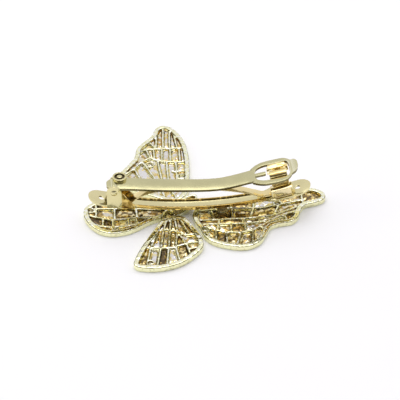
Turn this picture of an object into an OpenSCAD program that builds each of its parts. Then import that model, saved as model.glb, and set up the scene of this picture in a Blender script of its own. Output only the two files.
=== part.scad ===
// Butterfly hair ornament set with rhinestones, on a French barrette clip.
// It lies stones down, with the clip on top. X runs along the clip, from the hinge to the catch.
// Plan places are measured from the middle of the clip's base plate, and place() moves the whole
// ornament so that the origin is under the middle of its box.

/* [Ornament] */
// Height of the cast wing frames
frame_h = 1.8; // [1.4:0.1:2.2]
// Width of the rim around each wing
rim_w = 1.5; // [1.2:0.1:1.8]
// Width of the walls between the stones
wall_w = 0.75; // [0.6:0.05:0.9]
// How far the tops of the walls lie below the top of the rim
wall_drop = 0.25; // [0.1:0.05:0.5]
// Height of the stones in their cells
stone_h = 1.0; // [0.7:0.1:1.2]
// How far the stones' faces are set back from the ornament's face
stone_recess = 0.1; // [0.05:0.05:0.2]
// Glue line around each stone
glue_gap = 0.05; // [0.03:0.01:0.08]

/* [Base plate] */
// Length of the clip's base plate over its end tabs
clip_l = 70; // [68:0.5:72]
// Thickness of the base plate
base_t = 0.6; // [0.5:0.05:0.8]
// Width of the end tabs
tab_w = 7.2; // [6.8:0.1:7.6]
// Width of the channel between the tabs
channel_w = 4.4; // [4:0.1:4.8]
// Height of the channel's side lips over the plate
lip_h = 0.5; // [0.4:0.1:0.8]
// Radius that the base plate is bowed to
bow_r = 105; // [100:1:115]
// Height of the underside of the base plate at its middle
base_z = 2.9; // [2.7:0.1:3.1]
// Radius of the hole in each end tab
tab_hole_r = 0.9; // [0.7:0.05:1.1]

/* [Hinge] */
// Radius of the hinge pin
pin_r = 0.6; // [0.5:0.05:0.7]
// Radial clearance between the pin and the arm's knuckle
pin_clearance = 0.05; // [0.03:0.01:0.08]
// Height of the hinge pin's axis
pin_z = 12.2; // [12:0.1:12.4]

/* [Lock arm] */
// Thickness of the arm
arm_t = 0.8; // [0.6:0.05:0.9]
// Width of the arm
arm_w = 5.7; // [5.4:0.1:5.7]

/* [Springs] */
// Thickness of the bow spring
bow_t = 0.35; // [0.3:0.05:0.4]
// Width of the bow spring
bow_w = 3.1; // [2.8:0.1:3.2]
// Thickness of the catch's spring legs
leg_t = 0.5; // [0.4:0.05:0.5]
// Width of the catch's spring legs
leg_w = 5.4; // [5:0.1:5.6]

/* [Hidden] */

$fn = 48;
gold = "#d9c67e";
pale_gold = "#cfc99a";

// The middle of the ornament's box, from the middle of the base plate
box_mid = [1.95, 9.54];

// Left and right are the butterfly's own, seen from the clip side with its head towards +X +Y.
// Each outline is a loop of spline points that turns anticlockwise.
left_forewing = [
    [-4.5, 6.5], [-2.6, 11], [-2, 17], [-1.5, 24], [-1.4, 30], [-2, 36.5], [-3.6, 41.5],
    [-6, 45.6], [-9, 47], [-11.4, 45.4], [-13, 41.2], [-16.2, 37.4], [-18.4, 34.2],
    [-19.3, 29.5], [-21.5, 25.6], [-24.4, 21.2], [-25.4, 17.6], [-23.2, 13.6], [-18.5, 9.8],
    [-13, 6.6], [-8.5, 4.4]
];
right_forewing = [
    [2.5, 3.4], [-0.6, 1], [-2.6, -2.6], [-2.2, -6.6], [-0.8, -10.4], [0, -13.4], [1.9, -16.3],
    [5.5, -18.6], [10.5, -20.1], [14.2, -19.8], [17.4, -17.6], [19.6, -13.9], [21.4, -10.9],
    [24.5, -9.7], [28.2, -9.1], [30.6, -6.6], [31.8, -3.4], [33.6, -1], [36.8, -0.2],
    [39.8, 1.2], [40.8, 3.6], [39.6, 5.9], [36.5, 7.5], [30, 7.4], [22, 6], [12, 4.6]
];
left_hindwing = [
    [-12, 2.9], [-16.5, 4.8], [-22, 6.8], [-27.5, 7.6], [-32.5, 6.6], [-36, 4], [-36.9, 0.8],
    [-36.3, -2.6], [-34.4, -6.2], [-31.6, -9], [-28, -10.2], [-23.6, -9.6], [-20.2, -8],
    [-17.2, -5.9], [-14.4, -4.4], [-11.8, -3.2], [-10, -1.2], [-10, 1]
];
right_hindwing = [
    [-7.4, -3], [-10, -3.7], [-12.6, -4.9], [-14.2, -7.4], [-15.8, -10.6], [-17.8, -14.2],
    [-20, -18.6], [-21.8, -23.2], [-22.2, -25.6], [-20.6, -27.1], [-16.5, -27.9], [-12, -27.5],
    [-7.5, -25.8], [-3.6, -22.7], [-0.9, -19.4], [-0.4, -16.2], [-1.2, -12.6], [-2.6, -9],
    [-4, -6], [-5.4, -3.8]
];

// The walls between the stones, each a chain of straight pieces
left_forewing_walls = [
    [[-24, 19], [-19.8, 23.4], [-17, 27.2], [-14.2, 29], [-11, 27], [-6, 26], [-1.6, 25.6]],
    [[-19, 31.4], [-15.3, 34], [-8.5, 33.8], [-1.6, 33.8]],
    [[-17, 27.2], [-12, 14], [-10.5, 6]],
    [[-19.8, 23.4], [-17.5, 15.5], [-17, 9]],
    [[-14.2, 29], [-15.3, 34]],
    [[-12.8, 34], [-12.8, 28]],
    [[-10, 34], [-10.4, 26.6]],
    [[-7.2, 33.8], [-7.6, 26.2]],
    [[-4.2, 33.8], [-4.4, 25.8]],
    [[-12, 34], [-11, 45]],
    [[-9.6, 33.8], [-8.8, 46]],
    [[-7.4, 33.8], [-6.6, 46]],
    [[-4.8, 33.8], [-5.6, 44]],
    [[-14.4, 39], [-12, 34]],
    [[-11.8, 27], [-11, 15]],
    [[-8.9, 26.4], [-9, 15]],
    [[-5.8, 26], [-6.2, 15]],
    [[-7.4, 20.6], [-1.8, 20.8]],
    [[-23, 14.6], [-17.5, 15.5], [-12.4, 14.8], [-6.2, 15], [-2, 15]],
    [[-9.4, 15], [-8, 9], [-6.4, 5.4]]
];
right_forewing_walls = [
    [[-2.4, -5.4], [1, -5.7], [9.6, -5.8], [15.3, -5.8], [23.3, -5], [29, -2.4], [32.2, -0.6]],
    [[-1.6, -8.4], [0.9, -7.6], [3.8, -7.9], [9.3, -8.2], [15, -8.3], [20.1, -7.8], [26.2, -5.2],
     [31.4, -2.8]],
    [[0.9, -7.6], [3.2, -10.3], [6.1, -12], [11.3, -12.7], [15.5, -11.9], [18.6, -9.8],
     [21.4, -7.4]],
    [[-2, -1], [9.9, -0.6], [19.7, -1.1], [26.3, 0.4], [33.4, 2]],
    [[10, 5], [9.8, -5.8]],
    [[3.4, -0.8], [4, -5.8]],
    [[4, 4], [3.4, -0.8]],
    [[17.4, 5], [17, -1], [15.3, -5.8]],
    [[24.6, 7], [25.3, 0.2], [23, -5]],
    [[5.6, -5.8], [5.2, -8]],
    [[13, -5.8], [12.8, -8.2]],
    [[17.9, -5.7], [18, -8]],
    [[4, -10.9], [3.6, -17.6]],
    [[7.2, -12.2], [6.8, -19]],
    [[11.9, -12.6], [9.2, -20]],
    [[15.5, -11.9], [14.6, -19.6]],
    [[18.2, -10.2], [20, -13]],
    [[5, -8], [4.6, -11]],
    [[9, -8.2], [8.8, -12.3]],
    [[13.4, -8.3], [13.2, -12.4]],
    [[26.2, -5.2], [27, -9.6]],
    [[29.2, -4], [31, -6.4]],
    [[33.2, 7.6], [33, -1]]
];
left_hindwing_walls = [
    [[-36.8, 0.6], [-33, -1.3], [-28.3, -3.2], [-20.1, -2.7], [-13, -3.2]],
    [[-27.8, -3.2], [-27.9, -10]],
    [[-35.4, -3.4], [-31.8, -5.9], [-27.8, -6.9]],
    [[-27.8, -6.6], [-23.1, -6.4], [-19, -5.4]],
    [[-20.1, -2.7], [-20.3, -8.2]],
    [[-32.8, 6.6], [-33, -1.4]],
    [[-26.9, 7.4], [-27.2, -3]],
    [[-20.4, 6.4], [-20.1, -2.7]],
    [[-34.6, 3], [-27, 2.6], [-20.3, 2], [-12.6, 0.6]],
    [[-23, -2.9], [-22.9, -6.4]],
    [[-30.8, -2.3], [-31, -6.1]]
];
right_hindwing_walls = [
    [[-16.4, -10.8], [-13.9, -9.6], [-11.2, -9.4], [-8.4, -10.4], [-5.6, -12.6], [-1.4, -12.2]],
    [[-19.6, -17.4], [-16.3, -17.9], [-13.2, -18.2], [-10.2, -18.2], [-6.6, -17], [-3.9, -16.2],
     [-0.4, -16.4]],
    [[-12, -4.6], [-13.9, -9.6], [-16.8, -17.8], [-18.4, -27]],
    [[-10.8, -4.4], [-12.2, -9.4], [-13.6, -18.2], [-15.4, -27.6]],
    [[-9.6, -4.2], [-10.2, -9.6], [-11.2, -18.2], [-12.4, -27.4]],
    [[-8.4, -3.4], [-8, -10.4], [-9, -18], [-8.2, -25.8]],
    [[-7.2, -2.8], [-4.4, -12.4]],
    [[-8, -10.4], [-5.6, -17], [-4.6, -23.4]],
    [[-5.2, -19.4], [-0.8, -18.2]],
    [[-4.8, -21.6], [-1.6, -20.4]]
];

// The round cells: X, Y and the radius of the stone
round_cells = [
    [-14.4, 25.1, 1.1], [-4.4, 17.6, 1.1], [0.7, -10.4, 1.1], [24.9, 0.9, 0.95],
    [-17.2, -24.8, 0.8], [-34.6, 2.2, 0.9]
];
ring_w = 0.5;

// The butterfly's body is an oval on the line between its wings
body_mid = [-6.4, 1.4];
body_half = [8.2, 2.7];
body_turn = 45;
body_rim_w = 0.9;
body_walls = [-3.6, 0.4, 4.2];
body_wall_w = 0.9;

// The solder pads stand on webs in the frames, and hold the base plate
pad_r = 1.7;
pads = [[-7, 0.6], [7, -0.4]];
web_r = 2.1;

// The base plate
base_top_z = base_z + base_t;
half_l = clip_l / 2;
tab_r = tab_w / 2;
tab_x = half_l - tab_r;
tab_hole_x = half_l - 4;
neck_x = 20;
shoulder_x = 23.5;
lip_t = 0.5;
lip_from = -21.4;
lip_to = 18.6;

// The hinge
pin_x = -27;
ear_r = 2.3;
ear_t = 0.6;
ear_y = tab_r - ear_t;
ear_foot_z = base_z + rise_at(pin_x - ear_r) - 0.3;
far_ear_r = 1.05;
head_r = 1.05;
head_h = 0.45;
dome_r = 1.45;
knuckle_r = 1.4;
knuckle_w = 4.2;

// The top of the arm, as X and Z
arm_line = [
    [-29.2, 13.3], [-24, 13.3], [-18, 12.6], [-12, 11.95], [-6, 11.5], [0, 11.15], [5, 11.15],
    [9, 11.7], [13, 12.65], [17, 13.7], [21, 14.55], [25, 15.35], [27.8, 16.2], [29.4, 17],
    [30.8, 17.8]
];
// One side of the arm in plan, from the hinge end to the finger tab's end
arm_side = [
    [-29.3, 0.6], [-28.9, 1.5], [-28.1, 2.2], [-26.9, 2.7], [-25.2, arm_w / 2], [-10, arm_w / 2],
    [14.6, arm_w / 2],
    [16.2, 3.4], [17.8, 4.7], [20, 5.6], [23.4, 5.85], [26.4, 5.6], [27.9, 4.4], [28.5, 3.5],
    [29.5, 3.1], [30.2, 2.2], [30.5, 1]
];
// One side of the hole in the arm's loop
loop_side = [[17.2, 1.2], [17.9, 2.7], [19.6, 3.7], [22, 3.95], [26.4, 3.95], [27.6, 3.2], [28, 1.4]];
tongue_from = 16.6;
tongue_end = 20.6;
tongue_w = 1.3;

// The eyelet on the arm, over the far ear
eyelet = [-25, 2.4];
eyelet_r = 2.2;
eyelet_h = 0.9;
groove_r = 1.65;
boss_r = 0.8;
groove_depth = 0.6;

// The top of the bow spring, as X and Z
bow_line = [
    [-23, 6.5], [-21.6, 7], [-19.4, 8.5], [-17, 9.6], [-13, 10.5], [-7, 10.35], [0, 10.1],
    [5, 9.9], [9, 9.3], [12.6, 8.55], [15, 7.85], [17.8, 6.9], [20, 6.2], [22.6, 6.5]
];

// The catch stands square on the base plate where that slopes
catch_x = 26.3;
catch_tilt = slope_at(catch_x);
catch_z = base_top_z + rise_at(catch_x);
foot_t = 0.5;
foot_half = 3.1;
leg_y = 3.25;
leg_root_z = foot_t + 0.1;
squeeze_z = 6.1;
squeeze_w = 6.8;
squeeze_reach = 6.4;
rivet_r = 0.8;
rivet_head_r = 1.3;
rivet_head_h = 0.4;
far = 60;

// The slope of the bowed base plate, in degrees, and its rise over its middle
function slope_at(x) = atan(x / bow_r);
function rise_at(x) = pow(x, 2) / (2 * bow_r);

// A point of the Catmull-Rom spline between b and c
function blend(a, b, c, d, t) = 0.5 * (
    2 * b + (c - a) * t + (2 * a - 5 * b + 4 * c - d) * t * t + (3 * b - a - 3 * c + d) * t * t * t
);

// A closed smooth loop through the given points
function loop(p, steps = 4) = let (n = len(p)) [
    for (i = [0:n - 1])
        for (k = [0:steps - 1])
            blend(p[(i + n - 1) % n], p[i], p[(i + 1) % n], p[(i + 2) % n], k / steps)
];

// An open smooth line through the given points
function line(p, steps = 4) = let (n = len(p) - 1) concat([
    for (i = [0:n - 1])
        for (k = [0:steps - 1])
            blend(p[max(i - 1, 0)], p[i], p[i + 1], p[min(i + 2, n)], k / steps)
], [p[n]]);

function unit(v) = v / norm(v);

// Moves an anticlockwise loop inwards
function inset(p, d) = let (n = len(p)) [
    for (i = [0:n - 1])
        let (t = unit(p[(i + 1) % n] - p[(i + n - 1) % n]))
            p[i] + d * [-t[1], t[0]]
];

function reversed(p) = [for (i = [len(p) - 1:-1:0]) p[i]];

// Moves an open X, Z line down by the thickness of a strip, square to the line
function lowered(p, t) = let (n = len(p) - 1) [
    for (i = [0:n])
        let (u = unit(p[min(i + 1, n)] - p[max(i - 1, 0)]))
            p[i] + t * [u[1], -u[0]]
];

// The base plate's top or bottom line, bowed to bow_r
function bowed(z, from, to, steps = 24) = [
    for (i = [0:steps])
        let (x = from + (to - from) * i / steps)
            [x, z + rise_at(x)]
];

// An oval of n points
function oval(half, n = 40) = [
    for (i = [0:n - 1]) [half[0] * cos(360 * i / n), half[1] * sin(360 * i / n)]
];

// Mirrors one side of a plan outline to the other side of the X axis
function both_sides(p) = concat([for (q = p) [q[0], -q[1]]], reversed(p));

// Puts a piece where it lies under the middle of the ornament's box
module place() {
    translate([-box_mid[0], -box_mid[1], 0]) children();
}

// Extrudes an X, Z outline across the clip, centred on its middle or from y0 to y1
module across(points, y0, y1) {
    translate([0, y1, 0]) rotate([90, 0, 0]) linear_extrude(height = y1 - y0) polygon(points);
}

// A strip that follows an X, Z line along the top
module strip(top, thickness, width) {
    across(concat(lowered(top, thickness), reversed(top)), -width / 2, width / 2);
}

// One straight wall from a to b
module wall(a, b, width) {
    turn = atan2(b[1] - a[1], b[0] - a[0]);
    translate(a) rotate(turn) translate([-width / 2, -width / 2]) square([norm(b - a) + width, width]);
}

module wall_plan(walls, width) {
    for (chain = walls)
        for (i = [0:len(chain) - 2])
            wall(chain[i], chain[i + 1], width);
}

module body_plan(grow = 0) {
    translate(body_mid) rotate(body_turn) polygon(oval([body_half[0] + grow, body_half[1] + grow]));
}

module round_plan(grow) {
    for (c = round_cells)
        translate([c[0], c[1]]) circle(r = c[2] + grow);
}

// The web that carries the solder pad on a wing
module pad_plan(grow = 0) {
    translate(pads[1]) circle(r = web_r + grow);
}

// A wing's casting: its rim, the walls between its cells and the rings of its round cells
module wing_frame(points, walls) {
    outer = loop(points);
    color(gold) place() {
        linear_extrude(height = frame_h) difference() {
            polygon(outer);
            polygon(inset(outer, rim_w));
            round_plan(0);
            body_plan(glue_gap);
        }
        linear_extrude(height = frame_h - wall_drop) difference() {
            intersection() {
                polygon(inset(outer, rim_w / 2));
                union() {
                    wall_plan(walls, wall_w);
                    round_plan(ring_w);
                    pad_plan();
                }
            }
            round_plan(0);
            body_plan(glue_gap);
        }
    }
}

// The stones of one wing, each cut to the shape of its cell
module wing_stones(points, walls) {
    color("#b99a62") place() translate([0, 0, stone_recess])
        linear_extrude(height = stone_h) difference() {
            polygon(inset(loop(points), rim_w + glue_gap));
            wall_plan(walls, wall_w + 2 * glue_gap);
            round_plan(ring_w + glue_gap);
            pad_plan(glue_gap);
            body_plan(2 * glue_gap);
        }
}

module left_forewing_frame() {
    wing_frame(left_forewing, left_forewing_walls);
}

module right_forewing_frame() {
    wing_frame(right_forewing, right_forewing_walls);
}

module left_hindwing_frame() {
    wing_frame(left_hindwing, left_hindwing_walls);
}

module right_hindwing_frame() {
    wing_frame(right_hindwing, right_hindwing_walls);
}

module left_forewing_stones() {
    wing_stones(left_forewing, left_forewing_walls);
}

module right_forewing_stones() {
    wing_stones(right_forewing, right_forewing_walls);
}

module left_hindwing_stones() {
    wing_stones(left_hindwing, left_hindwing_walls);
}

module right_hindwing_stones() {
    wing_stones(right_hindwing, right_hindwing_walls);
}

// The bars across the body, between its stones
module body_wall_plan(grow = 0) {
    translate(body_mid) rotate(body_turn)
        for (u = body_walls)
            translate([u - body_wall_w / 2 - grow, -body_half[1]])
                square([body_wall_w + 2 * grow, 2 * body_half[1]]);
}

module body_frame() {
    color(gold) place() {
        linear_extrude(height = frame_h) difference() {
            body_plan();
            body_plan(-body_rim_w);
        }
        linear_extrude(height = frame_h) intersection() {
            body_plan(-body_rim_w / 2);
            body_wall_plan();
        }
        linear_extrude(height = frame_h) intersection() {
            body_plan(-body_rim_w / 2);
            translate(pads[0]) circle(r = web_r);
        }
    }
}

module body_stones() {
    color("#c9b6c2") place() translate([0, 0, stone_recess])
        linear_extrude(height = stone_h) difference() {
            body_plan(-body_rim_w - glue_gap);
            body_wall_plan(glue_gap);
            translate(pads[0]) circle(r = web_r + glue_gap);
        }
}

module round_stones() {
    color("#e8e2d0") place()
        for (c = round_cells)
            translate([c[0], c[1], stone_recess]) cylinder(r = c[2] - glue_gap, h = stone_h);
}

// The two pads of solder between the ornament and the base plate
module solder_pads() {
    color(gold) place() intersection() {
        for (i = [0, 1])
            translate([pads[i][0], pads[i][1], frame_h - i * wall_drop]) cylinder(r = pad_r, h = base_z);
        across(concat([[-half_l, 0], [half_l, 0]], reversed(bowed(base_z, -half_l, half_l))),
            -tab_w, tab_w);
    }
}

// The base plate in plan: a channel, and a round tab at each end
module base_plan() {
    square([2 * shoulder_x, channel_w], center = true);
    for (side = [-1, 1]) {
        translate([side * tab_x, 0]) circle(r = tab_r);
        polygon([
            [side * neck_x, channel_w / 2], [side * shoulder_x, tab_r], [side * tab_x, tab_r],
            [side * tab_x, -tab_r], [side * shoulder_x, -tab_r], [side * neck_x, -channel_w / 2]
        ]);
    }
}

// A band across the clip that follows the bow, from height z0 to z1
module bowed_band(z0, z1, from, to, y0, y1) {
    across(concat(bowed(z0, from, to), reversed(bowed(z1, from, to))), y0, y1);
}

module base_sheet() {
    intersection() {
        bowed_band(base_z, base_top_z, -half_l - 1, half_l + 1, -tab_w, tab_w);
        linear_extrude(height = far) base_plan();
    }
}

module channel_lip(y0, y1) {
    bowed_band(base_z, base_top_z + lip_h, lip_from, lip_to, y0, y1);
}

// The gusset where a channel lip rises into the hinge ear
module gusset(y0, y1) {
    across([[-25, 6], [-20.6, 5.2], [-20.6, 6.4], [-22.6, 8.6], [-24, 10.8], [-25, 11.2]], y0, y1);
}

module near_ear() {
    across([[pin_x - ear_r, ear_foot_z], [pin_x + ear_r, ear_foot_z], [pin_x + ear_r, pin_z],
        [pin_x - ear_r, pin_z]], -ear_y - ear_t, -ear_y);
    translate([pin_x, -ear_y, pin_z]) rotate([90, 0, 0]) cylinder(r = ear_r, h = ear_t);
}

// The far ear is narrow at the top, where the arm's eyelet passes over it
module far_ear() {
    across([[pin_x - ear_r, ear_foot_z], [pin_x + ear_r, ear_foot_z], [pin_x + far_ear_r, pin_z],
        [pin_x - far_ear_r, pin_z]], ear_y, ear_y + ear_t);
    translate([pin_x, ear_y + ear_t, pin_z]) rotate([90, 0, 0]) cylinder(r = far_ear_r, h = ear_t);
}

module base_plate() {
    color(gold) place() difference() {
        union() {
            base_sheet();
            channel_lip(-channel_w / 2, -channel_w / 2 + lip_t);
            channel_lip(channel_w / 2 - lip_t, channel_w / 2);
            gusset(-ear_y, -ear_y + lip_t);
            gusset(ear_y - lip_t, ear_y);
            near_ear();
            far_ear();
        }
        for (x = [-tab_hole_x, tab_hole_x])
            translate([x, 0, base_z + base_t / 2 + rise_at(x)]) rotate([0, -slope_at(x), 0])
                cylinder(r = tab_hole_r, h = 2, center = true);
        translate([pin_x, tab_w, pin_z]) rotate([90, 0, 0]) cylinder(r = pin_r + 0.01, h = 2 * tab_w);
        catch_frame() translate([0, 0, -2]) cylinder(r = rivet_r + 0.01, h = 4);
    }
}

// The rivet through the two ears, with a round head outside each
module hinge_pin() {
    reach = ear_y + ear_t + 0.02;
    color(pale_gold) place() translate([pin_x, 0, pin_z]) rotate([90, 0, 0]) {
        cylinder(r = pin_r, h = 2 * reach, center = true);
        for (side = [0, 1])
            mirror([0, 0, side]) translate([0, 0, reach]) intersection() {
                cylinder(r = head_r, h = head_h);
                translate([0, 0, head_h - dome_r]) sphere(r = dome_r);
            }
    }
}

// The arm in plan, with the hole of its loop and the tongue in that hole
module arm_plan() {
    difference() {
        polygon(both_sides(line(arm_side, 3)));
        polygon(both_sides(line(loop_side, 3)));
    }
    translate([tongue_from, -tongue_w / 2]) square([tongue_end - tongue_from, tongue_w]);
}

module lock_arm() {
    color(pale_gold) place() difference() {
        union() {
            intersection() {
                strip(line(arm_line, 2), arm_t, 3 * arm_w);
                linear_extrude(height = far) arm_plan();
            }
            translate([pin_x, 0, pin_z]) rotate([90, 0, 0])
                cylinder(r = knuckle_r, h = knuckle_w, center = true);
        }
        translate([pin_x, 0, pin_z]) rotate([90, 0, 0])
            cylinder(r = pin_r + pin_clearance, h = 2 * arm_w, center = true);
    }
}

// The eyelet on the arm over the hinge: a flange round a sunk groove, with a boss in the middle.
// Its underside is cut to the arm's curve and round the knuckle, so it bears on both.
module arm_eyelet() {
    sunk = 0.3;
    color(gold) place() difference() {
        translate([eyelet[0], eyelet[1], arm_line[0][1] - sunk]) difference() {
            cylinder(r = eyelet_r, h = eyelet_h + sunk);
            translate([0, 0, eyelet_h + sunk - groove_depth]) difference() {
                cylinder(r = groove_r, h = 1);
                cylinder(r = boss_r, h = 1);
            }
        }
        translate([0, 0, 0.01]) strip(line(arm_line, 2), 2, 3 * arm_w);
        translate([pin_x, 0, pin_z]) rotate([90, 0, 0])
            cylinder(r = knuckle_r + 0.01, h = knuckle_w + 0.02, center = true);
    }
}

module bow_spring() {
    color(gold) place() strip(line(bow_line, 3), bow_t, bow_w);
}

// The frame of the catch: Z square to the base plate, X up its slope
module catch_frame() {
    translate([catch_x, 0, catch_z]) rotate([0, -catch_tilt, 0]) children();
}

// Extrudes a Y, Z outline along the catch's own X
module along(points, width) {
    rotate([90, 0, 90]) translate([0, 0, -width / 2]) linear_extrude(height = width) polygon(points);
}

// The flat middle of the catch, riveted to the base plate
module catch_foot() {
    color(gold) place() catch_frame() difference() {
        translate([-leg_w / 2, -foot_half, 0.05]) cube([leg_w, 2 * foot_half, foot_t - 0.05]);
        cylinder(r = rivet_r + 0.01, h = 3, center = true);
    }
}

module catch_rivet() {
    color(pale_gold) place() catch_frame() {
        translate([0, 0, -base_t - 0.05]) cylinder(r = rivet_r, h = base_t + foot_t + 0.07);
        translate([0, 0, foot_t + 0.02])
            cylinder(r1 = rivet_head_r, r2 = 0.7 * rivet_head_r, h = rivet_head_h);
        translate([0, 0, -base_t - 0.05 - rivet_head_h]) cylinder(r = rivet_head_r, h = rivet_head_h);
    }
}

// A spring leg of the catch: it rises inside the arm's loop and curls over at the top
module catch_leg() {
    rise = [
        [leg_y - 0.2, leg_root_z], [leg_y - 0.1, 4], [leg_y + 0.1, 7.4], [leg_y + 0.2, 8.3],
        [leg_y, 9.1], [leg_y - 0.7, 9.65], [leg_y - 1.6, 9.65], [0.6, 9.3]
    ];
    squeeze = [
        [leg_y - 0.2, squeeze_z - 0.5], [leg_y + 0.8, squeeze_z + 0.05], [4.8, squeeze_z + 0.2],
        [squeeze_reach, squeeze_z - 0.25]
    ];
    outer = line(rise, 3);
    flare = line(squeeze, 2);
    along(concat(outer, reversed(lowered(outer, -leg_t))), leg_w);
    along(concat(flare, reversed(lowered(flare, leg_t))), squeeze_w);
}

module near_catch_leg() {
    color(gold) place() catch_frame() mirror([0, 1, 0]) catch_leg();
}

module far_catch_leg() {
    color(gold) place() catch_frame() catch_leg();
}

left_forewing_frame();
right_forewing_frame();
left_hindwing_frame();
right_hindwing_frame();
body_frame();
left_forewing_stones();
right_forewing_stones();
left_hindwing_stones();
right_hindwing_stones();
body_stones();
round_stones();
solder_pads();
base_plate();
hinge_pin();
lock_arm();
arm_eyelet();
bow_spring();
catch_foot();
catch_rivet();
near_catch_leg();
far_catch_leg();
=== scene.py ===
"""Butterfly barrette: a cast, gold-plated butterfly set with foiled crystals, on a French barrette clip.

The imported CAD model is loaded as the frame. Each operator models one piece, or one group of like
pieces, round that frame, and the last one sets the stage. Lengths in the settings are in metres.
"""

import math
import random

import bpy
from mathutils import Matrix, Vector


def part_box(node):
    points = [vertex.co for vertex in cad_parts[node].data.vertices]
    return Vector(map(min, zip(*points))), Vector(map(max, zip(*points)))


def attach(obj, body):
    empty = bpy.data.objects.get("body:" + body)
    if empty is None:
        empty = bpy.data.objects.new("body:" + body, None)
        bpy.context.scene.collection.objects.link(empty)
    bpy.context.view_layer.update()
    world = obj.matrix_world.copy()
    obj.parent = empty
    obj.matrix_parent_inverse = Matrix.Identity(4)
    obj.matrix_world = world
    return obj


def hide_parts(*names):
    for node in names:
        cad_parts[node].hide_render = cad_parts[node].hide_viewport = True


bl_info = {
    "name": "Butterfly Barrette",
    "version": (1, 0, 0),
    "blender": (4, 5, 0),
    "location": "View3D > Sidebar > Barrette",
    "description": "Models a gold-plated butterfly hair barrette round its CAD frame",
    "category": "Object",
}

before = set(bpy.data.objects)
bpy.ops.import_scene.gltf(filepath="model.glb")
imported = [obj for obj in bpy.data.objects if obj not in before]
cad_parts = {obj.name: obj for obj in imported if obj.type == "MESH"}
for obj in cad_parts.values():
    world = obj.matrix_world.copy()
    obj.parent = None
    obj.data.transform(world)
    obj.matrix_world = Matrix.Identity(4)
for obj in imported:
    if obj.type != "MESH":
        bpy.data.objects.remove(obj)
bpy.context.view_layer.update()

MM = 0.001
WINGS = ("left_forewing", "right_forewing", "left_hindwing", "right_hindwing")
# How light the stones of each casting are: over 1 is lighter
STONE_LIGHTNESS = {"left_forewing": 8.0, "right_forewing": 1.5, "left_hindwing": 0.95, "right_hindwing": 1.2,
                   "body": 0.9}
# The middle of the clip's base plate in the row frame
CLIP = Vector((-1.95, -9.54, 0)) * MM
# Where the tints of the clip start and end, in millimetres from there: each pair is one soft edge
CHANNEL_START, CHANNEL_END = (-20.4, -19.6), (19.5, 21.5)
LIP_INNER = (1.66, 1.74)
DASHES_INNER, DASHES_OUTER = (1.56, 1.62), (1.9, 1.98)
GUSSET_START, GUSSET_END, GUSSET_INNER = (-24.75, -24.6), (-20.9, -20.3), (2.35, 2.5)
BARREL_FOOT = (12.9, 13.6)
# Tints of the plating, most of them painted light: on the castings, on the base plate, on the arm and on the
# catch
# Painted light on the castings: a dark reflection line, random dark patches deepened as shade, and a
# highlight
RIM_DARK_REFLECTION, DARK_PATCH_AND_SHADE, PAINTED_GLINT = (0.09, 0.08, 0.02), (0.34, 0.31, 0.1), (1.0, 1.0, 0.88)
# Painted reflection of the wings on the lips, and dark dashes of painted shade along their tops
LIP_REFLECTION_DEEP, LIP_REFLECTION_GOLD, TEETH_SHADE = (0.84, 0.55, 0.14), (1.0, 0.74, 0.26), (0.16, 0.11, 0.02)
# Painted shade in the gussets
GUSSET_SHADE_DEEP, GUSSET_SHADE_GOLD = (0.3, 0.18, 0.03), (0.85, 0.62, 0.2)
# Painted highlight on the arm's upper edges, and painted shade on its sides and underside
ARM_EDGE_HIGHLIGHT, ARM_SIDE_SHADE = (1.0, 0.97, 0.74), (0.16, 0.13, 0.05)
CATCH_BAND, CATCH_TAB = (0.3, 0.19, 0.04), (0.92, 0.82, 0.56)
# Painted shade in the eyelet's groove
EYELET_GROOVE_SHADE = (0.035, 0.018, 0.006)
# Edges that are less sharp than these angles are shaded smooth
CAST_SMOOTH = math.radians(60)
STONE_SMOOTH = math.radians(8)
STRIP_SMOOTH = math.radians(34)
# Width of a stone's outer ring of facets: the size of what is left inside it
CROWN = 0.68
# Points of a round stone lie closer together than this
ROUND_STONE = 2.6 * MM
# The camera: its distance, the height that it looks at, and its sensor and shift
CAMERA_AWAY = 420 * MM
CAMERA_TARGET = 3 * MM
CAMERA_SENSOR = 36.0
CAMERA_SHIFT = 0.0125


# ---------------------------------------------------------------- settings

class CastingSettings(bpy.types.PropertyGroup):
    """The cast butterfly"""
    voxel: bpy.props.FloatProperty(
        name="Casting grain", description="Size of the voxels that the castings are rounded with",
        default=0.16 * MM, min=0.1 * MM, max=0.4 * MM, unit="LENGTH", precision=5)
    rounding: bpy.props.IntProperty(
        name="Rounding", description="How many times the castings' edges are smoothed",
        default=10, min=0, max=20)
    waviness: bpy.props.FloatProperty(
        name="Waviness", description="How far the plated surface of the castings rises and falls",
        default=0.09 * MM, min=0.0, max=0.2 * MM, unit="LENGTH", precision=5)
    colour: bpy.props.FloatVectorProperty(
        name="Casting gold", description="Colour of the plating on the castings",
        default=(0.98, 0.95, 0.61), size=3, min=0.0, max=1.0, subtype="COLOR")
    # Painted shade and a painted reflection of the stones, laid low in the cells
    shade: bpy.props.FloatVectorProperty(
        name="Painted cell shade", description="Colour painted low down in the cells as shade and the stones' reflection",
        default=(0.62, 0.42, 0.13), size=3, min=0.0, max=1.0, subtype="COLOR")


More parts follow.
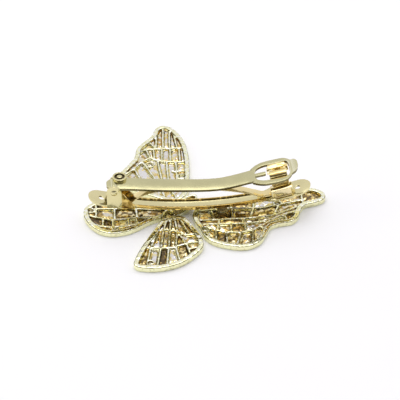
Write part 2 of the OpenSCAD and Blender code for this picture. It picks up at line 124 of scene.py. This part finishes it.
class StoneSettings(bpy.types.PropertyGroup):
    """The crystals in the cells"""
    seed: bpy.props.IntProperty(
        name="Stone seed", description="Picks the tones of the stones", default=7, min=0)
    culet: bpy.props.FloatProperty(
        name="Culet", description="Size of a stone's small back facet, as a share of the stone",
        default=0.34, min=0.05, max=0.9, subtype="FACTOR")
    table: bpy.props.FloatProperty(
        name="Table", description="Size of a stone's front facet, as a share of the stone",
        default=0.72, min=0.3, max=0.95, subtype="FACTOR")
    dark: bpy.props.FloatVectorProperty(
        name="Dark foil", description="Colour of the darkest foiled stones",
        default=(0.09, 0.055, 0.012), size=3, min=0.0, max=1.0, subtype="COLOR")
    amber: bpy.props.FloatVectorProperty(
        name="Amber foil", description="Colour of the foiled stones of middle tone",
        default=(0.66, 0.45, 0.13), size=3, min=0.0, max=1.0, subtype="COLOR")
    silver: bpy.props.FloatVectorProperty(
        name="Silver foil", description="Colour of the lightest foiled stones",
        default=(0.86, 0.84, 0.82), size=3, min=0.0, max=1.0, subtype="COLOR")


class ClipSettings(bpy.types.PropertyGroup):
    """The barrette clip"""
    edge: bpy.props.FloatProperty(
        name="Edge radius", description="Radius that the stamped edges are tumbled to",
        default=0.14 * MM, min=0.02 * MM, max=0.3 * MM, unit="LENGTH", precision=5)
    # Set darker than the plating is: painted shade that keeps the arm's top dim
    arm_shaded_colour: bpy.props.FloatVectorProperty(
        name="Shaded arm gold", description="Colour of the arm, darkened as painted shade",
        default=(0.6, 0.565, 0.315), size=3, min=0.0, max=1.0, subtype="COLOR")
    plate_colour: bpy.props.FloatVectorProperty(
        name="Plate gold", description="Colour of the plating on the base plate",
        default=(0.75, 0.68, 0.375), size=3, min=0.0, max=1.0, subtype="COLOR")
    spring_colour: bpy.props.FloatVectorProperty(
        name="Spring gold", description="Colour of the plating on the springs and the catch",
        default=(0.88, 0.74, 0.38), size=3, min=0.0, max=1.0, subtype="COLOR")
    catch_colour: bpy.props.FloatVectorProperty(
        name="Catch gold", description="Colour of the plating on the catch's legs",
        default=(0.96, 0.78, 0.36), size=3, min=0.0, max=1.0, subtype="COLOR")
    solder_colour: bpy.props.FloatVectorProperty(
        name="Solder", description="Colour of the plated solder under the base plate",
        default=(0.66, 0.54, 0.3), size=3, min=0.0, max=1.0, subtype="COLOR")


class StageSettings(bpy.types.PropertyGroup):
    """The floor, the lights and the camera"""
    floor_colour: bpy.props.FloatVectorProperty(
        name="Floor", description="Colour of the floor",
        default=(0.97, 0.968, 0.965), size=3, min=0.0, max=1.0, subtype="COLOR")
    key: bpy.props.FloatProperty(
        name="Key light", description="Power of the soft light overhead", default=3.7, min=0.0, unit="POWER")
    overhead: bpy.props.FloatProperty(
        name="Overhead", description="Brightness of the studio's ceiling", default=1.25, min=0.0)
    wall: bpy.props.FloatProperty(
        name="Walls", description="Brightness of the studio's walls", default=0.86, min=0.0)
    dark: bpy.props.FloatProperty(
        name="Dark side", description="Brightness of the studio behind the camera", default=0.2, min=0.0)
    lens: bpy.props.FloatProperty(
        name="Lens", description="Focal length of the camera, in millimetres", default=119.3, min=20.0)
    elevation: bpy.props.FloatProperty(
        name="Elevation", description="How far the camera looks down",
        default=math.radians(38), subtype="ANGLE")
    azimuth: bpy.props.FloatProperty(
        name="Azimuth", description="How far round the object the camera stands", default=math.radians(-5),
        subtype="ANGLE")


# ---------------------------------------------------------------- shader building

class Term:
    """A shader value that adds its Math nodes as it is used in an expression."""

    def __init__(self, finish, socket):
        self.finish = finish
        self.socket = socket

    def _math(self, operation, first, second):
        node = self.finish.node("ShaderNodeMath", {"operation": operation}, {0: first, 1: second})
        return Term(self.finish, node.outputs[0])

    def __add__(self, other):
        return self._math("ADD", self, other)

    def __sub__(self, other):
        return self._math("SUBTRACT", self, other)

    def __rsub__(self, other):
        return self._math("SUBTRACT", other, self)

    def __mul__(self, other):
        return self._math("MULTIPLY", self, other)

    __radd__ = __add__
    __rmul__ = __mul__


class Tree:
    """The node tree of a material or of the world, and the ways that its nodes are added."""

    def __init__(self, owner):
        owner.use_nodes = True
        self.tree = owner.node_tree
        self.tree.nodes.clear()

    def node(self, kind, settings=None, inputs=None):
        """Adds a node, makes its settings and then sets or links its sockets."""
        node = self.tree.nodes.new(kind)
        for key, value in (settings or {}).items():
            if key == "stops":
                ramp = node.color_ramp
                while len(ramp.elements) < len(value):
                    ramp.elements.new(0.5)
                for element, (place, colour) in zip(ramp.elements, value):
                    element.position = place
                    element.color = (*colour, 1.0)
            else:
                setattr(node, key, value)
        for key, value in (inputs or {}).items():
            self.join(value, node.inputs[key])
        return node

    def join(self, value, socket):
        """Links a value to a socket, or sets the socket where the value is plain."""
        if isinstance(value, Term):
            value = value.socket
        if isinstance(value, bpy.types.NodeSocket):
            self.tree.links.new(value, socket)
        elif socket.type == "RGBA" and len(value) == 3:
            socket.default_value = (*value, 1.0)
        else:
            socket.default_value = value

    def term(self, kind, settings=None, inputs=None, output=0):
        return Term(self, self.node(kind, settings, inputs).outputs[output])

    def step(self, value, low, high):
        """0 below low, 1 above high, and smooth between them."""
        return self.term("ShaderNodeMapRange", {"interpolation_type": "SMOOTHSTEP"}, {
            "Value": value, "From Min": low, "From Max": high})


class Finish(Tree):
    """One material of a piece."""

    def __init__(self, name):
        self.material = bpy.data.materials.new(name)
        super().__init__(self.material)
        self.shader = self.node("ShaderNodeBsdfPrincipled")
        self.node("ShaderNodeOutputMaterial", None, {"Surface": self.shader.outputs[0]})

    def place(self, scale=(1, 1, 1)):
        """The piece's own coordinates, stretched."""
        coords = self.node("ShaderNodeTexCoord").outputs["Object"]
        return self.node("ShaderNodeMapping", None, {"Vector": coords, "Scale": scale}).outputs[0]

    def noise(self, size, detail=2.0, stretch=(1, 1, 1), roughness=0.5):
        """Noise whose lumps are about the given size, in metres."""
        return self.term("ShaderNodeTexNoise", None, {
            "Vector": self.place(stretch), "Scale": 1 / size, "Detail": detail, "Roughness": roughness})

    def spot(self, axis, start=0.0):
        """The place along X, Y or Z, in millimetres from a start in metres."""
        coords = self.node("ShaderNodeTexCoord")
        split = self.node("ShaderNodeSeparateXYZ", None, {0: coords.outputs["Object"]})
        return (Term(self, split.outputs[axis]) - start) * 1000.0

    def lean(self):
        """How far the surface faces up: 1 up, 0 sideways, -1 down."""
        normal = self.node("ShaderNodeNewGeometry").outputs["Normal"]
        return Term(self, self.node("ShaderNodeSeparateXYZ", None, {0: normal}).outputs["Z"])

    def hollows(self, reach):
        """1 where the piece's own shape leaves the surface open, and less where it is closed in."""
        return self.term("ShaderNodeAmbientOcclusion", {"samples": 8, "only_local": True},
                         {"Distance": reach}, "AO")

    def mix(self, factor, first, second):
        """A colour between two, as a socket."""
        node = self.node("ShaderNodeMix", {"data_type": "RGBA"}, {0: factor, 6: first, 7: second})
        return node.outputs[2]

    def size_of(self, value):
        """A value without its sign."""
        return self.term("ShaderNodeMath", {"operation": "ABSOLUTE"}, {0: value})

    def shards(self, size, channel, stretch=(1, 1, 1)):
        """One channel of a random colour for each shard, where the shards are about the given size."""
        colour = self.term("ShaderNodeTexVoronoi", {"feature": "F1"}, {
            "Vector": self.place(stretch), "Scale": 1 / size, "Randomness": 1.0}, "Color")
        return self.term("ShaderNodeSeparateColor", None, {0: colour}, channel)

    def bump(self, height, distance, strength=1.0, under=None):
        """A normal from heights of 0 to 1, over another normal where there is one."""
        inputs = {"Height": height, "Distance": distance, "Strength": strength}
        if under is not None:
            inputs["Normal"] = under
        return self.node("ShaderNodeBump", None, inputs).outputs[0]

    def set(self, **inputs):
        """Sets or links the main shader's sockets."""
        names = {"colour": "Base Color", "rough": "Roughness", "metal": "Metallic", "coat": "Coat Weight",
                 "coat_rough": "Coat Roughness", "normal": "Normal"}
        for key, value in inputs.items():
            self.join(value, self.shader.inputs[names[key]])
        return self.material


def casting_finish(name, colour, shade):
    """Gold plating on a casting: bright rims with painted highlights, a painted dark reflection line round
    their outer edge, random dark patches deepened in the hollows as painted shade, and cells browned by
    painted shade and a painted reflection of the stones.
    """
    f = Finish(name)
    openness = f.hollows(1.8 * MM)
    pale = tuple(min(1.0, c * 1.06) for c in colour)
    patch = f.step(f.noise(3.2 * MM, 3), 0.35, 0.7)
    top = f.mix(patch, colour, pale)
    # Painted shade and painted reflection of the stones: the cell colour goes where the casting's own walls
    # close the surface in.
    tint = f.mix(f.step(openness + f.noise(1.2 * MM, 2) * 0.2, 0.45, 0.85), shade, top)
    lean = f.lean()
    # Painted dark reflection: a dark line along the rims' rounded outer top edge, where the surface is open
    # and faces partly up.
    edge = f.step(lean, 0.1, 0.28) * (1 - f.step(lean, 0.88, 0.98)) * f.step(f.spot("Z"), 1.0, 1.3)
    edge = edge * f.step(openness, 0.7, 0.84) * f.step(f.noise(2.6 * MM, 2), 0.28, 0.42)
    tint = f.mix(edge * 0.92, tint, RIM_DARK_REFLECTION)
    # Random dark patches, made darker in the hollows as painted shade.
    dark_patches = f.step(f.noise(0.8 * MM, 2), 0.54, 0.64)
    tint = f.mix(dark_patches * (0.3 + (1 - openness) * 0.5), tint, DARK_PATCH_AND_SHADE)
    # Painted highlight: random pale patches on faces that look up.
    top_glint = f.step(f.noise(1.0 * MM, 2, (1.3, 1, 1)), 0.5, 0.6) * f.step(lean, 0.5, 0.9)
    tint = f.mix(top_glint, tint, PAINTED_GLINT)
    rough = 0.04 + f.noise(0.9 * MM, 3) * 0.08
    normal = f.bump(f.noise(1.3 * MM, 2), 0.09 * MM)
    return f.set(colour=tint, rough=rough, metal=1.0, normal=normal)


def plated_finish(name, colour, rough, waviness=0.03 * MM, warm=None):
    """Gold plating on stamped strip: fine draw lines along the strip and faint handling marks.

    warm(finish, tint) may tint parts of the strip further, and gives the new tint.
    """
    f = Finish(name)
    deep = tuple(c * k for c, k in zip(colour, (0.9, 0.86, 0.74)))
    pale = tuple(min(1.0, c * 1.08) for c in colour)
    patch = f.step(f.noise(5.0 * MM, 3), 0.3, 0.75)
    body = f.mix(patch, colour, pale)
    spots = f.step(f.noise(0.9 * MM, 4, (1, 1, 1), 0.65), 0.62, 0.8)
    tint = f.mix(spots * 0.5, body, deep)
    if warm:
        tint = warm(f, tint)
    lines = f.noise(0.22 * MM, 3, (0.12, 1, 1))
    normal = f.bump(lines, 0.0012 * MM)
    normal = f.bump(f.noise(3.2 * MM, 1), waviness, 1.0, normal)
    roughness = rough * 0.75 + f.noise(1.4 * MM, 3) * (rough * 0.5) + spots * 0.06
    return f.set(colour=tint, rough=roughness, metal=1.0, normal=normal)


def channel_reflection_and_shade(f, tint):
    """Painted reflection of the wings in deeper gold on the channel's lips, dark dashes of painted shade
    along their tops, and painted shade in dark amber in the gussets.
    """
    along = f.spot("X", CLIP.x)
    across = f.size_of(f.spot("Y", CLIP.y))
    straight = f.step(along, *CHANNEL_START) * (1 - f.step(along, *CHANNEL_END))
    # Painted reflection of the gold wings: orange-gold on both lips along the straight part.
    lip_reflection = f.step(across, *LIP_INNER) * straight
    gold = f.mix(f.step(f.noise(2.0 * MM, 2), 0.35, 0.65), LIP_REFLECTION_DEEP, LIP_REFLECTION_GOLD)
    tint = f.mix(lip_reflection * 0.9, tint, gold)
    # Painted shade: dark dashes along the lips' tops, in place of fine teeth that have no shape here.
    dashes = f.step(f.noise(0.6 * MM, 1, (1, 0.1, 0.1)), 0.36, 0.46)
    brim = f.step(across, *DASHES_INNER) * (1 - f.step(across, *DASHES_OUTER))
    tint = f.mix(straight * dashes * brim * 0.9, tint, TEETH_SHADE)
    # Painted shade: dark amber in the gussets, which lie deeper under the ears' step.
    gusset = f.step(along, *GUSSET_START) * (1 - f.step(along, *GUSSET_END)) * f.step(across, *GUSSET_INNER)
    gusset_shade = f.mix(f.step(f.noise(1.5 * MM, 2), 0.4, 0.6), GUSSET_SHADE_DEEP, GUSSET_SHADE_GOLD)
    return f.mix(gusset * 0.92, tint, gusset_shade)


def arm_highlight_and_shade(f, tint):
    """A painted highlight on the arm's upper edges, and painted shade on its sides and underside."""
    lean = f.lean()
    # Painted highlight on the arm's rounded upper edges.
    edge = f.step(lean, 0.2, 0.4) * (1 - f.step(lean, 0.85, 0.97))
    tint = f.mix(edge * 0.8, tint, ARM_EDGE_HIGHLIGHT)
    # Painted shade on the arm's sides and underside.
    return f.mix((1 - f.step(lean, 0.05, 0.25)) * 0.85, tint, ARM_SIDE_SHADE)


def banded_catch(f, tint):
    """Dark bands along the catch's curled strip, and paler squeeze tabs."""
    bands = f.step(f.noise(1.0 * MM, 1, (0.12, 1, 1.6)), 0.5, 0.62)
    barrel = f.step(f.spot("Z"), *BARREL_FOOT)
    tint = f.mix(bands * barrel * 0.75, tint, CATCH_BAND)
    return f.mix((1 - barrel) * 0.6, tint, CATCH_TAB)


def eyelet_finish(name, colour):
    """Gold plating with painted shade in a dark groove: the groove is found as what its own walls shade."""
    f = Finish(name)
    # Painted shade: the dark groove colour goes where the groove's own walls close it in.
    unshaded = f.step(f.hollows(0.8 * MM) + f.noise(0.5 * MM, 2) * 0.1, 0.75, 0.95)
    return f.set(colour=f.mix(unshaded, EYELET_GROOVE_SHADE, colour), rough=0.3 - unshaded * 0.15, metal=1.0)


def foiled_finish(name, dark, amber, silver):
    """The foiled back of a cut stone: each stone has its own tone, and it breaks up in soft patches."""
    f = Finish(name)
    tone = f.term("ShaderNodeAttribute", {"attribute_name": "tone"}, None, "Fac")
    glint = f.shards(1.0 * MM, 0, (1, 1, 0.3))
    level = tone * 0.52 + f.step(glint, 0.1, 0.9) * 0.36 + f.step(f.noise(0.7 * MM, 2), 0.3, 0.7) * 0.12
    ramp = f.node("ShaderNodeValToRGB", {"stops": (
        (0.16, dark), (0.34, tuple(c * 0.4 for c in amber)), (0.5, amber),
        (0.58, (0.98, 0.84, 0.4)), (0.72, (0.74, 0.7, 0.6)), (0.84, silver))}, {0: level})
    normal = f.bump(f.noise(0.7 * MM, 1), 0.03 * MM)
    rough = 0.05 + f.noise(0.8 * MM, 2) * 0.08
    return f.set(colour=ramp.outputs[0], rough=rough, metal=0.9, normal=normal, coat=0.6, coat_rough=0.03)


def crystal_finish(name):
    """Clear round crystal with a silver foil: bright, with a few dark facets."""
    f = Finish(name)
    spark = f.shards(0.55 * MM, 1)
    ramp = f.node("ShaderNodeValToRGB", {"stops": (
        (0.0, (0.16, 0.14, 0.06)), (0.35, (0.46, 0.44, 0.28)), (0.7, (0.9, 0.88, 0.8)))}, {0: spark})
    return f.set(colour=ramp.outputs[0], rough=0.05 + spark * 0.08, metal=0.6,
                 normal=f.bump(spark, 0.1 * MM, 0.8), coat=1.0, coat_rough=0.02)


def solder_finish(name, colour):
    """Plated solder: dull, pitted and a little brown."""
    f = Finish(name)
    lumps = f.noise(0.5 * MM, 4, (1, 1, 1), 0.6)
    tint = f.mix(f.step(lumps, 0.35, 0.65), tuple(c * 0.6 for c in colour), colour)
    return f.set(colour=tint, rough=0.34 + lumps * 0.2, metal=1.0, normal=f.bump(lumps, 0.05 * MM))


def floor_finish(name, colour):
    """A plain matt floor with the faintest mottle."""
    f = Finish(name)
    mottle = f.noise(40 * MM, 2)
    tint = f.mix(mottle, colour, tuple(c * 0.99 for c in colour))
    return f.set(colour=tint, rough=0.75 + mottle * 0.1, metal=0.0)


# ---------------------------------------------------------------- modelling

def only(obj):
    """Makes one object the selected and active one."""
    bpy.ops.object.select_all(action="DESELECT")
    obj.select_set(True)
    bpy.context.view_layer.objects.active = obj


def edit(obj, mode="FACE"):
    """Enters edit mode on one object, with everything deselected."""
    only(obj)
    bpy.ops.object.mode_set(mode="EDIT")
    bpy.ops.mesh.select_mode(type=mode)
    bpy.ops.mesh.select_all(action="DESELECT")


def leave():
    bpy.ops.object.mode_set(mode="OBJECT")


def pick(obj, test):
    """Selects the faces that pass a test, and goes back to edit mode."""
    leave()
    for part in (obj.data.vertices, obj.data.edges, obj.data.polygons):
        part.foreach_set("select", [False] * len(part))
    for face in obj.data.polygons:
        face.select = test(face)
    bpy.ops.object.mode_set(mode="EDIT")


def apply(obj, kind, **settings):
    """Adds a modifier, makes its settings and applies it."""
    only(obj)
    modifier = obj.modifiers.new(kind.title(), kind)
    for key, value in settings.items():
        setattr(modifier, key, value)
    bpy.ops.object.modifier_apply(modifier=modifier.name)


def copy_of(node, name, flat=math.radians(0.4)):
    """A copy of a CAD node's mesh, its loose triangles merged and its flat faces made whole."""
    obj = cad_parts[node].copy()
    obj.data = obj.data.copy()
    for key in list(obj.keys()):
        del obj[key]
    obj.parent = None
    obj.matrix_world = Matrix.Identity(4)
    obj.name = name
    obj.data.name = name
    obj.data.materials.clear()
    bpy.context.scene.collection.objects.link(obj)
    edit(obj, "VERT")
    bpy.ops.mesh.select_all(action="SELECT")
    bpy.ops.mesh.remove_doubles(threshold=0.0005 * MM)
    if flat:
        bpy.ops.mesh.dissolve_limited(angle_limit=flat)
    leave()
    return obj


def settle(obj, body, slot, material, *nodes, smooth=STRIP_SMOOTH):
    """Gives a finished piece its material and smoothing, and its place in the frame."""
    only(obj)
    bpy.ops.object.transform_apply(location=True, rotation=True, scale=True)
    obj.data.materials.clear()
    obj.data.materials.append(material)
    bpy.ops.object.shade_smooth_by_angle(angle=smooth)
    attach(obj, body)
    if nodes:
        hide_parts(*nodes)
    return obj


def cast(obj, settings, seed):
    """Rounds a casting's edges and corners, and gives its plated skin a slight wave."""
    apply(obj, "REMESH", mode="VOXEL", voxel_size=settings.voxel)
    apply(obj, "SMOOTH", factor=0.5, iterations=settings.rounding)
    wave = bpy.data.textures.new("cast_skin_%d" % seed, "CLOUDS")
    wave.noise_scale = 1.5 * MM
    wave.noise_depth = 1
    apply(obj, "DISPLACE", texture=wave, texture_coords="LOCAL", strength=settings.waviness, mid_level=0.55)


def islands(mesh):
    """The number of the loose part that each vertex belongs to."""
    parent = list(range(len(mesh.vertices)))

    def root(i):
        while parent[i] != i:
            parent[i] = parent[parent[i]]
            i = parent[i]
        return i

    for edge in mesh.edges:
        a, b = root(edge.vertices[0]), root(edge.vertices[1])
        if a != b:
            parent[max(a, b)] = min(a, b)
    return [root(i) for i in range(len(parent))]


def islands_of_node(node):
    """The loose parts of a CAD node, found by place, because its triangles aren't joined."""
    groups = []
    numbers = []
    for vertex in node.data.vertices:
        for number, spot in enumerate(groups):
            if (vertex.co.xy - spot).length < ROUND_STONE:
                break
        else:
            number = len(groups)
            groups.append(vertex.co.xy.copy())
        numbers.append(number)
    return numbers


def tone_stones(obj, seed, lightness):
    """Gives each stone its own tone, from 0 to 1, in an attribute."""
    draw = random.Random(seed)
    tones = {}
    values = []
    for i in islands(obj.data):
        if i not in tones:
            tones[i] = min(1.0, draw.random() ** (1 / lightness))
        values.append(tones[i])
    attribute = obj.data.attributes.new("tone", "FLOAT", "POINT")
    attribute.data.foreach_set("value", values)


def cut_facets(obj, up, size, rise):
    """Cuts the flat side that faces up (1) or down (-1): a small facet, with sloping ones round it."""
    edit(obj)
    pick(obj, lambda face: face.normal.z * up > 0.9)
    bpy.ops.mesh.inset(thickness=0.0, depth=0.0, use_individual=True)
    leave()
    moved = {}
    for face in obj.data.polygons:
        if face.select:
            middle = face.center.copy()
            for i in face.vertices:
                moved[i] = middle + (obj.data.vertices[i].co - middle) * size
    for i, place in moved.items():
        obj.data.vertices[i].co = place + Vector((0, 0, rise * up))
    obj.data.update()


def faceted_stones(node, name, settings, seed, lightness):
    """The stones of one casting, cut with a pointed back and a flat front."""
    obj = copy_of(node, name)
    low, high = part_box(node)
    for vertex in obj.data.vertices:
        if vertex.co.z < (low.z + high.z) / 2:
            vertex.co.z += 0.28 * MM
        else:
            vertex.co.z -= 0.4 * MM
    cut_facets(obj, 1, CROWN, 0.32 * MM)
    cut_facets(obj, 1, settings.culet / CROWN, 0.14 * MM)
    cut_facets(obj, -1, settings.table, 0.3 * MM)
    tone_stones(obj, seed, lightness)
    return obj


# ---------------------------------------------------------------- operators

class BARRETTE_OT_wings(bpy.types.Operator):
    """Casts the four wings: rounded rims with the walls of their cells"""
    bl_idname = "barrette.wings"
    bl_label = "Wings"

    def execute(self, context):
        settings = context.scene.barrette_casting
        gold = casting_finish("cast_gold", settings.colour[:], settings.shade[:])
        for i, wing in enumerate(WINGS):
            node = wing + "_frame"
            obj = copy_of(node, wing + "_casting", 0)
            cast(obj, settings, i)
            settle(obj, "ornament", "gold_plated_casting", gold, node, smooth=CAST_SMOOTH)
        return {"FINISHED"}


class BARRETTE_OT_body(bpy.types.Operator):
    """Casts the butterfly's body between the wings"""
    bl_idname = "barrette.body"
    bl_label = "Body"

    def execute(self, context):
        settings = context.scene.barrette_casting
        obj = copy_of("body_frame", "body_casting", 0)
        cast(obj, settings, 9)
        gold = bpy.data.materials["cast_gold"]
        settle(obj, "ornament", "gold_plated_casting", gold, "body_frame", smooth=CAST_SMOOTH)
        return {"FINISHED"}


class BARRETTE_OT_stones(bpy.types.Operator):
    """Cuts the foiled stones of the wings and the body"""
    bl_idname = "barrette.stones"
    bl_label = "Stones"

    def execute(self, context):
        settings = context.scene.barrette_stones
        foil = foiled_finish("foiled_crystal_back", settings.dark[:], settings.amber[:], settings.silver[:])
        for i, (part, lightness) in enumerate(STONE_LIGHTNESS.items()):
            node = part + "_stones"
            obj = faceted_stones(node, part + "_cut_stones", settings, settings.seed + i, lightness)
            settle(obj, "ornament", "foiled_crystal", foil, node, smooth=STONE_SMOOTH)
        return {"FINISHED"}


class BARRETTE_OT_brilliants(bpy.types.Operator):
    """Cuts the round stones: one brilliant, copied to each round cell"""
    bl_idname = "barrette.brilliants"
    bl_label = "Round stones"

    def execute(self, context):
        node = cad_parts["round_stones"]
        spots = {}
        for i, vertex in zip(islands_of_node(node), node.data.vertices):
            spots.setdefault(i, []).append(vertex.co.copy())
        pieces = []
        for points in spots.values():
            low = Vector(min(p[k] for p in points) for k in range(3))
            high = Vector(max(p[k] for p in points) for k in range(3))
            pieces.append(self.brilliant((low + high) / 2, (high.x - low.x) / 2, low.z, high.z))
        bpy.ops.object.select_all(action="DESELECT")
        for obj in pieces:
            obj.select_set(True)
        bpy.context.view_layer.objects.active = pieces[0]
        bpy.ops.object.join()
        obj = pieces[0]
        obj.name = "round_brilliants"
        settle(obj, "ornament", "clear_crystal", crystal_finish("clear_crystal_back"), "round_stones",
               smooth=STONE_SMOOTH)
        return {"FINISHED"}

    def brilliant(self, middle, radius, low, high):
        """A round stone with twelve sides, a girdle, a pointed back and a flat front."""
        height = high - low
        bpy.ops.object.select_all(action="DESELECT")
        bpy.ops.mesh.primitive_cylinder_add(vertices=12, radius=radius, depth=0.3 * height,
                                            location=(middle.x, middle.y, low + 0.5 * height))
        obj = bpy.context.active_object
        bpy.ops.object.transform_apply(location=True, rotation=True, scale=True)
        cut_facets(obj, 1, 0.7, 0.28 * height)
        cut_facets(obj, 1, 0.25, 0.2 * height)
        cut_facets(obj, -1, 0.62, 0.3 * height)
        return obj


class BARRETTE_OT_solder(bpy.types.Operator):
    """Lays the two blobs of solder that hold the base plate"""
    bl_idname = "barrette.solder"
    bl_label = "Solder"

    def execute(self, context):
        settings = context.scene.barrette_clip
        obj = copy_of("solder_pads", "solder_blobs", 0)
        apply(obj, "REMESH", mode="VOXEL", voxel_size=0.12 * MM)
        apply(obj, "SMOOTH", factor=0.5, iterations=3)
        lumps = bpy.data.textures.new("solder_lumps", "CLOUDS")
        lumps.noise_scale = 0.8 * MM
        apply(obj, "DISPLACE", texture=lumps, texture_coords="LOCAL", strength=0.16 * MM, mid_level=0.4)
        settle(obj, "ornament", "solder", solder_finish("plated_solder", settings.solder_colour[:]),
               "solder_pads", smooth=CAST_SMOOTH)
        return {"FINISHED"}


class BARRETTE_OT_strips(bpy.types.Operator):
    """Tumbles the stamped strips of the clip: the base plate, the arm, the springs and the catch"""
    bl_idname = "barrette.strips"
    bl_label = "Clip strips"

    def execute(self, context):
        settings = context.scene.barrette_clip
        arm = plated_finish("arm_gold", settings.arm_shaded_colour[:], 0.2, warm=arm_highlight_and_shade)
        plate = plated_finish("plate_gold", settings.plate_colour[:], 0.14, warm=channel_reflection_and_shade)
        catch = plated_finish("catch_gold", settings.catch_colour[:], 0.14, 0.06 * MM, banded_catch)
        spring = plated_finish("spring_gold", settings.spring_colour[:], 0.16, 0.06 * MM)
        eyelet = eyelet_finish("eyelet_gold", settings.plate_colour[:])
        strips = (
            ("base_plate", "ornament", "gold_plated_steel", plate, 1.0),
            ("lock_arm", "arm", "gold_plated_steel", arm, 1.2),
            ("arm_eyelet", "arm", "gold_plated_steel", eyelet, 0.8),
            ("bow_spring", "ornament", "gold_plated_spring", spring, 0.7),
            ("catch_foot", "ornament", "gold_plated_spring", spring, 1.0),
            ("near_catch_leg", "near_leg", "gold_plated_spring", catch, 1.0),
            ("far_catch_leg", "far_leg", "gold_plated_spring", catch, 1.0),
        )
        for node, body, slot, material, round_by in strips:
            obj = copy_of(node, node + "_strip")
            apply(obj, "BEVEL", width=settings.edge * round_by, segments=3, limit_method="ANGLE",
                  angle_limit=math.radians(40), use_clamp_overlap=True)
            settle(obj, body, slot, material, node)
        return {"FINISHED"}


class BARRETTE_OT_rivets(bpy.types.Operator):
    """Heads the hinge pin and the rivet of the catch"""
    bl_idname = "barrette.rivets"
    bl_label = "Rivets"

    def execute(self, context):
        settings = context.scene.barrette_clip
        gold = plated_finish("rivet_gold", settings.plate_colour[:], 0.14)
        for node in ("hinge_pin", "catch_rivet"):
            obj = copy_of(node, node + "_rivet")
            apply(obj, "BEVEL", width=0.09 * MM, segments=3, limit_method="ANGLE",
                  angle_limit=math.radians(35), use_clamp_overlap=True)
            settle(obj, "ornament", "gold_plated_steel", gold, node)
        return {"FINISHED"}


class BARRETTE_OT_stage(bpy.types.Operator):
    """Sets the floor, the soft studio lights and the camera"""
    bl_idname = "barrette.stage"
    bl_label = "Stage"

    def execute(self, context):
        settings = context.scene.barrette_stage
        self.floor(settings)
        self.lights(settings)
        self.camera(settings)
        context.scene.view_settings.view_transform = "Standard"
        return {"FINISHED"}

    def floor(self, settings):
        bpy.ops.object.select_all(action="DESELECT")
        bpy.ops.mesh.primitive_plane_add(size=6.0, location=(0, 0, 0))
        obj = bpy.context.active_object
        obj.name = "floor"
        obj.data.materials.append(floor_finish("floor_matt", settings.floor_colour[:]))

    def area(self, name, place, target, size, power, colour):
        bpy.ops.object.light_add(type="AREA", location=place)
        light = bpy.context.active_object
        light.name = name
        light.data.shape = "RECTANGLE"
        light.data.size, light.data.size_y = size
        light.data.energy = power
        light.data.color = colour
        light.rotation_euler = (Vector(target) - Vector(place)).to_track_quat("-Z", "Y").to_euler()

    def lights(self, settings):
        middle = (0, 0, 0.005)
        self.area("key", (-0.15, 0.35, 1.1), middle, (1.1, 0.8), settings.key, (1.0, 0.99, 0.97))
        self.area("side", (-0.7, 0.05, 0.35), middle, (0.3, 0.3), settings.key * 0.08, (1.0, 0.99, 0.96))
        world = bpy.data.worlds.new("studio")
        bpy.context.scene.world = world
        studio = Tree(world)
        coords = studio.node("ShaderNodeTexCoord")
        split = studio.node("ShaderNodeSeparateXYZ", None, {0: coords.outputs["Generated"]})
        depth = Term(studio, split.outputs["Y"])
        height = Term(studio, split.outputs["Z"])
        overhead = studio.step(height, 0.66, 0.9)
        wall = studio.step(height, 0.1, 0.3)
        near = 1 - studio.step(depth, -0.55, -0.1)
        dark = near * wall * (1 - studio.step(height, 0.74, 0.92))
        tent = wall * (settings.wall - 1.0) + 1.0
        level = tent + overhead * (settings.overhead - settings.wall)
        level = level * (1 - dark * (1 - settings.dark))
        shade = studio.node("ShaderNodeBackground", None, {"Color": (0.965, 0.955, 1.0), "Strength": level})
        studio.node("ShaderNodeOutputWorld", None, {"Surface": shade.outputs[0]})

    def camera(self, settings):
        target = CLIP + Vector((0, 0, CAMERA_TARGET))
        flat = CAMERA_AWAY * math.cos(settings.elevation)
        place = target + Vector((flat * math.sin(settings.azimuth), -flat * math.cos(settings.azimuth),
                                 CAMERA_AWAY * math.sin(settings.elevation)))
        bpy.ops.object.camera_add(location=place)
        camera = bpy.context.active_object
        camera.name = "camera"
        camera.rotation_euler = (target - place).to_track_quat("-Z", "Y").to_euler()
        camera.data.lens = settings.lens
        camera.data.sensor_width = CAMERA_SENSOR
        camera.data.clip_start = 0.01
        camera.data.shift_y = CAMERA_SHIFT
        bpy.context.scene.camera = camera


class BARRETTE_PT_panel(bpy.types.Panel):
    """Lists the barrette's pieces and settings"""
    bl_label = "Butterfly Barrette"
    bl_idname = "BARRETTE_PT_panel"
    bl_space_type = "VIEW_3D"
    bl_region_type = "UI"
    bl_category = "Barrette"

    def draw(self, context):
        for step in STEPS:
            self.layout.operator(step)
        for name, group in GROUPS:
            box = self.layout.box()
            settings = getattr(context.scene, name)
            for key in group.__annotations__:
                box.prop(settings, key)


GROUPS = (
    ("barrette_casting", CastingSettings),
    ("barrette_stones", StoneSettings),
    ("barrette_clip", ClipSettings),
    ("barrette_stage", StageSettings),
)
OPERATORS = (
    BARRETTE_OT_wings,
    BARRETTE_OT_body,
    BARRETTE_OT_stones,
    BARRETTE_OT_brilliants,
    BARRETTE_OT_solder,
    BARRETTE_OT_strips,
    BARRETTE_OT_rivets,
    BARRETTE_OT_stage,
)
STEPS = tuple(operator.bl_idname for operator in OPERATORS)


def register():
    for name, group in GROUPS:
        bpy.utils.register_class(group)
        setattr(bpy.types.Scene, name, bpy.props.PointerProperty(type=group))
    for operator in OPERATORS + (BARRETTE_PT_panel,):
        bpy.utils.register_class(operator)


def unregister():
    for operator in reversed(OPERATORS + (BARRETTE_PT_panel,)):
        bpy.utils.unregister_class(operator)
    for name, group in reversed(GROUPS):
        delattr(bpy.types.Scene, name)
        bpy.utils.unregister_class(group)


def main():
    register()
    for step in STEPS:
        family, name = step.split(".")
        getattr(getattr(bpy.ops, family), name)()


if __name__ == "__main__":
    main()
